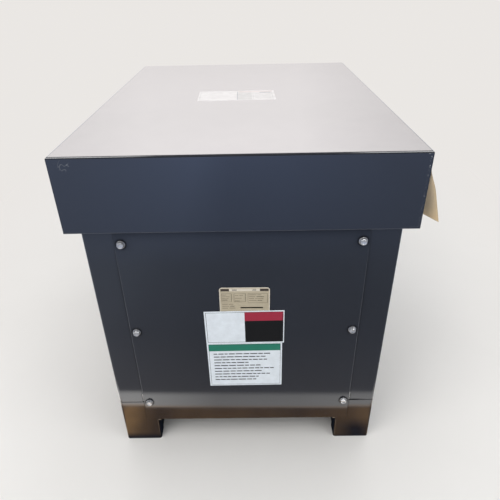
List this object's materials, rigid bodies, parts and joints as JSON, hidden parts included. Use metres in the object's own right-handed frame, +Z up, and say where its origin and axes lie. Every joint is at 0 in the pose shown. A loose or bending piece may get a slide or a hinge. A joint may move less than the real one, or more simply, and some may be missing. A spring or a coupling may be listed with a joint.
{
  "type": "single phase reactor",
  "caption": "Gapped iron core reactor with stacked coils in a ventilated, floor standing sheet steel enclosure with feet, a removable front panel and an overhanging cap.",
  "frame": {"origin": "on the floor, in the middle of the four anchor holes, under the middle of the enclosure", "axes": "+X to the right of the front panel, +Y to the rear along the enclosure's depth, +Z up; the front panel faces -Y"},
  "size_m": [0.5184, 0.655, 0.568],
  "materials": {
    "enclosure_paint": "glossy dark blue-grey paint with a fine orange peel",
    "inner_steel_paint": "semi-gloss dark grey paint",
    "zinc_screws": "bright zinc plating",
    "zinc_hardware": "zinc plating",
    "core_steel": "varnished lamination edges",
    "windings": "varnished foil and insulating paper",
    "bus_bar": "tin plated",
    "insulation_board": "varnished pressboard",
    "terminal_board": "moulded glass polyester board",
    "isolator_rubber": "matt black rubber",
    "kraft_paper": "brown kraft paper"
  },
  "bodies": {
    "root": {"base_channel_left": "enclosure_paint", "base_channel_right": "enclosure_paint", "side_panel_left": "enclosure_paint", "side_panel_right": "enclosure_paint", "front_panel": "enclosure_paint", "rear_panel": "enclosure_paint", "top_cap": "enclosure_paint", "foot_plate_front_left": "inner_steel_paint", "foot_plate_front_right": "inner_steel_paint", "foot_plate_rear_left": "inner_steel_paint", "foot_plate_rear_right": "inner_steel_paint", "front_top_tie": "inner_steel_paint", "rear_top_tie": "inner_steel_paint", "cap_bracket_front_left": "inner_steel_paint", "cap_bracket_front_right": "inner_steel_paint", "cap_bracket_rear_left": "inner_steel_paint", "cap_bracket_rear_right": "inner_steel_paint", "front_core_rail": "inner_steel_paint", "rear_core_rail": "inner_steel_paint", "lower_left_clamp": "inner_steel_paint", "lower_right_clamp": "inner_steel_paint", "upper_left_clamp": "inner_steel_paint", "upper_right_clamp": "inner_steel_paint", "panel_screws": "zinc_screws", "bracket_bolts": "zinc_hardware", "small_nuts": "zinc_hardware", "medium_nuts": "zinc_hardware", "large_nuts": "zinc_hardware", "isolator_bolts": "zinc_hardware", "clamp_bolts": "zinc_hardware", "tie_rods": "zinc_hardware", "terminal_studs": "zinc_hardware", "strap_bolts": "zinc_hardware", "ground_bolt": "zinc_hardware", "right_board_strap": "zinc_hardware", "left_board_strap": "zinc_hardware", "bottom_yoke": "core_steel", "top_yoke": "core_steel", "front_leg_blocks": "core_steel", "rear_leg_blocks": "core_steel", "front_inner_winding": "windings", "front_outer_winding": "windings", "rear_inner_winding": "windings", "rear_outer_winding": "windings", "front_coil_bar": "bus_bar", "rear_coil_bar": "bus_bar", "series_link": "bus_bar", "ground_lug": "bus_bar", "front_coil_former": "insulation_board", "rear_coil_former": "insulation_board", "yoke_liners": "insulation_board", "duct_sticks": "insulation_board", "gap_spacers": "insulation_board", "coil_blocks": "insulation_board", "terminal_board": "terminal_board", "core_isolator_front_left": "isolator_rubber", "core_isolator_front_right": "isolator_rubber", "core_isolator_rear_left": "isolator_rubber", "core_isolator_rear_right": "isolator_rubber", "document_envelope": "kraft_paper"}
  },
  "joints": []
}
